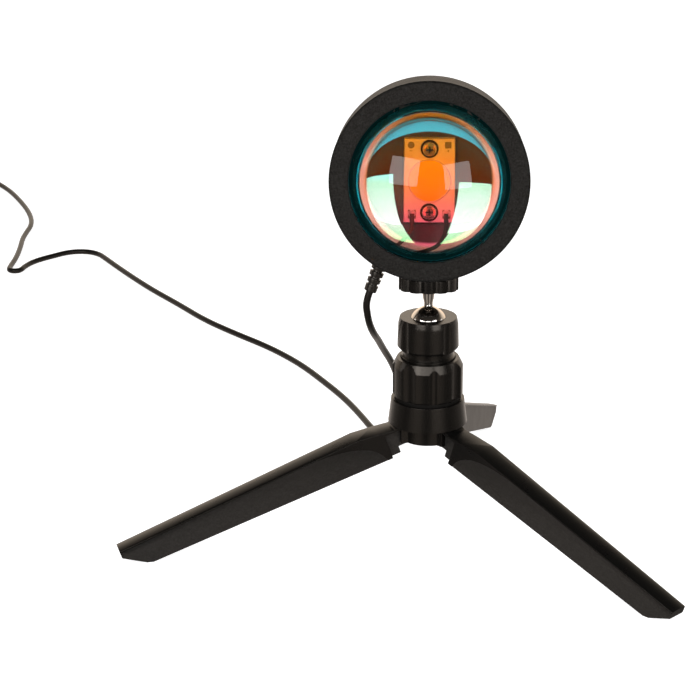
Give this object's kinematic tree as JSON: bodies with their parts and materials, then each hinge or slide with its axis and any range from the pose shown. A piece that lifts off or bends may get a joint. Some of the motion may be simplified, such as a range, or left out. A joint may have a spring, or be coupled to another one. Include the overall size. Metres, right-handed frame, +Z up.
{
  "type": "projection lamp",
  "caption": "Small sunset projection lamp: a black drum head with a domed coated lens on a ball head and a folding mini tripod, with a thin USB lead.",
  "frame": {"origin": "middle of the tripod's footprint (the legs' bounding box) on the surface it stands on", "axes": "+Z up, -Y the way the lamp faces, +X to the lamp's left, which is the viewer's right"},
  "size_m": [0.4805, 0.6984, 0.1941],
  "materials": {
    "housing": "fine sand texture",
    "leg_plastic": "semi-gloss tops, fine texture on the sides",
    "joint_plastic": "semi-gloss moulded",
    "nut_plastic": "satin",
    "chrome": "polished",
    "steel": "plain",
    "black_screw": "black oxide",
    "rubber": "satin",
    "nylon": "plain",
    "brass": "plain",
    "lens_glass": "coated, colour shifts with angle",
    "aluminium": "machined",
    "board_coating": "solder mask",
    "phosphor": "silicone over phosphor",
    "wire_red": "insulation",
    "wire_black": "insulation",
    "cord_jacket": "smooth round jacket",
    "switch_plastic": "satin",
    "button_plastic": "smooth"
  },
  "bodies": {
    "hub": {"hub": "joint_plastic", "tripod_screw": "steel", "hub_cap": "nut_plastic", "top_pad": "rubber", "hinge_pins": "steel", "cord_lead": "cord_jacket", "cord_coil": "cord_jacket", "cord_tail": "cord_jacket", "plug_cord": "cord_jacket", "switch_base": "switch_plastic", "switch_cover": "switch_plastic", "switch_contact": "nylon", "plug_body": "switch_plastic", "plug_shell": "steel", "plug_tongue": "nylon", "plug_contacts": "brass"},
    "leg_left": {"leg_left": "leg_plastic"},
    "leg_right": {"leg_right": "leg_plastic"},
    "leg_rear": {"leg_rear": "leg_plastic"},
    "pan": {"ball_head_base": "joint_plastic", "base_insert": "brass", "ball_seat": "nylon"},
    "collar": {"clamp_collar": "joint_plastic"},
    "stud": {"ball_stud": "chrome"},
    "nut": {"thumb_nut": "nut_plastic"},
    "head": {"head_shell": "housing", "mount_insert": "brass", "lens": "lens_glass", "lens_ring": "nut_plastic", "heat_plate": "aluminium", "led_board": "board_coating", "led_emitter": "phosphor", "led_screws": "chrome", "rear_cover": "housing", "cover_screws": "black_screw", "wire_positive": "wire_red", "wire_negative": "wire_black", "strain_relief": "rubber", "cord_drop": "cord_jacket"},
    "button": {"switch_button": "button_plastic"}
  },
  "joints": [
    {"name": "leg_left_fold", "type": "hinge", "parent": "hub", "child": "leg_left", "pos_m": [0.00444, -0.02138, 0.0442], "axis": [0.2974, -0.9548, 0], "range_deg": [0, 70]},
    {"name": "leg_right_fold", "type": "hinge", "parent": "hub", "child": "leg_right", "pos_m": [0.02083, -0.02508, 0.0442], "axis": [0.6782, 0.7349, 0], "range_deg": [0, 70]},
    {"name": "leg_rear_fold", "type": "hinge", "parent": "hub", "child": "leg_rear", "pos_m": [0.01583, -0.00904, 0.0442], "axis": [-0.9755, 0.2199, 0], "range_deg": [0, 70]},
    {"name": "base_turn", "type": "hinge", "parent": "hub", "child": "pan", "pos_m": [0.0137, -0.0185, 0.0607], "axis": [0, 0, 1], "range_deg": [-60, 60], "deforming": ["cord_drop"]},
    {"name": "collar_turn", "type": "hinge", "parent": "pan", "child": "collar", "pos_m": [0.0137, -0.0185, 0.09106], "axis": [0, 0, 1], "range_deg": [0, 270]},
    {"name": "ball_tilt", "type": "hinge", "parent": "pan", "child": "stud", "pos_m": [0.0137, -0.0185, 0.09106], "axis": [1, 0, 0], "range_deg": [-37, 53], "deforming": ["cord_drop"]},
    {"name": "nut_turn", "type": "hinge", "parent": "stud", "child": "nut", "pos_m": [0.0137, -0.0185, 0.09106], "axis": [0, 0.1426, 0.9898], "range_deg": [0, 180]},
    {"name": "head_spin", "type": "hinge", "parent": "stud", "child": "head", "pos_m": [0.0137, -0.0185, 0.09106], "axis": [0, 0.1426, 0.9898], "range_deg": [-60, 60], "deforming": ["cord_drop"]},
    {"name": "button_press", "type": "slide", "parent": "hub", "child": "button", "axis": [0, 0, -1], "range_m": [0, 0.0012], "stiffness_N_per_m": 600, "springref_m": -0.001}
  ]
}
